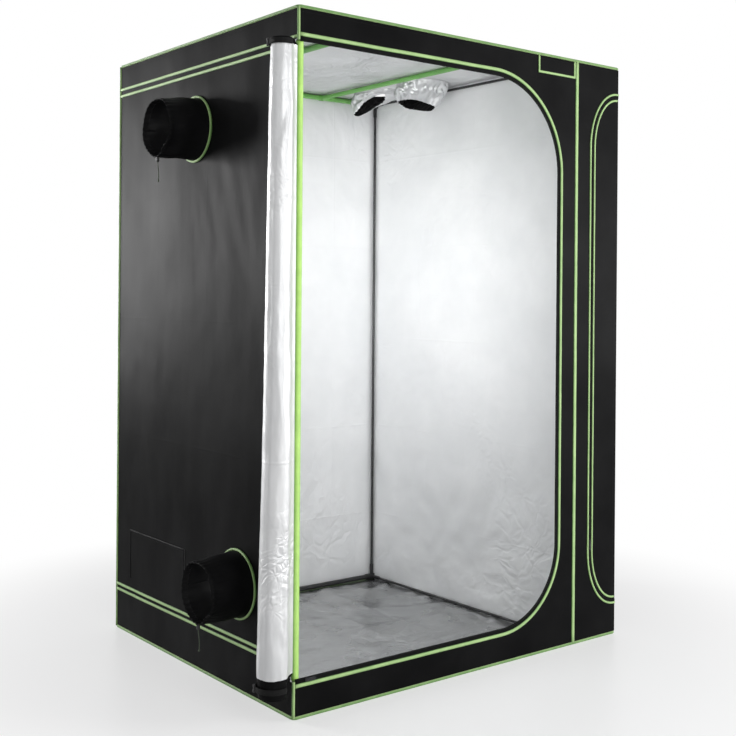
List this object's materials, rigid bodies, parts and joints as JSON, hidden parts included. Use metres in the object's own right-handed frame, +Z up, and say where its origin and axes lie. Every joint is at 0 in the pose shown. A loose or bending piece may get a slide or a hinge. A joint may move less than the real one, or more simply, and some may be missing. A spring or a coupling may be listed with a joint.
{
  "type": "indoor grow tent",
  "caption": "Free-standing fabric tent on a pole frame, with a rolled-up zipped main door, a zipped side door, round sleeved vents, a window flap and sliding hanging bars.",
  "frame": {"origin": "middle of the floor's underside", "axes": "+Z up; +Y from the front (both doors) to the rear; +X from the left wall (door roll, vents) to the right wall"},
  "size_m": [1.54, 1.1652, 2.03],
  "materials": {
    "black_canvas": "woven, coated",
    "silver_lining": "diamond-embossed metallised film on cloth",
    "green_piping": "woven binding",
    "bright_green_sleeve": "smooth coated cloth",
    "green_pole": "semi-gloss",
    "black_pole": "semi-gloss",
    "black_plastic": "moulded",
    "black_zip": "moulded and woven",
    "cord": "braided"
  },
  "bodies": {
    "tent": {"post_front_left": "black_pole", "post_front_right": "black_pole", "post_rear_left": "black_pole", "post_rear_right": "black_pole", "bottom_rail_front": "black_pole", "bottom_rail_rear": "black_pole", "bottom_rail_left": "black_pole", "bottom_rail_right": "black_pole", "partition_post_front": "black_pole", "partition_post_rear": "black_pole", "partition_rail_top": "black_pole", "partition_rail_bottom": "black_pole", "top_rail_front": "green_pole", "top_rail_rear": "green_pole", "top_rail_left": "green_pole", "top_rail_right": "green_pole", "connector_bottom_front_left": "black_plastic", "connector_bottom_front_right": "black_plastic", "connector_bottom_rear_left": "black_plastic", "connector_bottom_rear_right": "black_plastic", "connector_top_front_left": "black_plastic", "connector_top_front_right": "black_plastic", "connector_top_rear_left": "black_plastic", "connector_top_rear_right": "black_plastic", "tee_bottom_front": "black_plastic", "tee_bottom_rear": "black_plastic", "tee_top_front": "black_plastic", "tee_top_rear": "black_plastic", "upper_cord_lock": "black_plastic", "lower_cord_lock": "black_plastic", "roof_panel": "black_canvas", "left_wall": "black_canvas", "rear_wall": "black_canvas", "right_wall": "black_canvas", "front_panel": "black_canvas", "upper_vent_sleeve": "black_canvas", "lower_vent_sleeve": "black_canvas", "label_pocket": "black_canvas", "floor_panel": "silver_lining", "partition_wall": "silver_lining", "roof_vent_sleeve_rear": "silver_lining", "roof_vent_sleeve_front": "silver_lining", "edge_piping": "green_piping", "main_door_zip": "green_piping", "side_door_zip": "green_piping", "upper_vent_ring": "green_piping", "lower_vent_ring": "green_piping", "post_sleeve": "bright_green_sleeve", "vent_screen": "black_zip", "upper_drawcord": "cord", "lower_drawcord": "cord"},
    "main_door": {"rolled_main_door": "silver_lining", "roll_tie_top": "black_canvas", "roll_tie_bottom": "black_canvas"},
    "side_door": {"side_door": "black_canvas"},
    "vent_flap": {"vent_flap": "black_canvas"},
    "main_zip_slider": {"main_zip_slider": "black_zip"},
    "side_zip_slider": {"side_zip_slider": "black_zip"},
    "hanging_bar_left": {"hanging_bar_left": "green_pole"},
    "hanging_bar_right": {"hanging_bar_right": "green_pole"}
  },
  "joints": [
    {"name": "main_door_swing", "type": "hinge", "parent": "tent", "child": "main_door", "pos_m": [-0.6824, -0.5524, 1], "axis": [0, 0, 1], "range_deg": [0, 100]},
    {"name": "side_door_swing", "type": "hinge", "parent": "tent", "child": "side_door", "pos_m": [0.6961, -0.5661, 1], "axis": [0, 0, 1], "range_deg": [0, 240]},
    {"name": "vent_flap_swing", "type": "hinge", "parent": "tent", "child": "vent_flap", "pos_m": [-0.6984, 0.2655, 0.2], "axis": [0, -1, 0], "range_deg": [0, 150]},
    {"name": "main_zip_run", "type": "slide", "parent": "tent", "child": "main_zip_slider", "axis": [1, 0, 0], "range_m": [0, 0.75]},
    {"name": "side_zip_run", "type": "slide", "parent": "tent", "child": "side_zip_slider", "axis": [0, 0, 1], "range_m": [0, 1.35]},
    {"name": "hanging_bar_left_slide", "type": "slide", "parent": "tent", "child": "hanging_bar_left", "axis": [1, 0, 0], "range_m": [-0.22, 0.25]},
    {"name": "hanging_bar_right_slide", "type": "slide", "parent": "tent", "child": "hanging_bar_right", "axis": [1, 0, 0], "range_m": [-0.28, 0.02]}
  ]
}
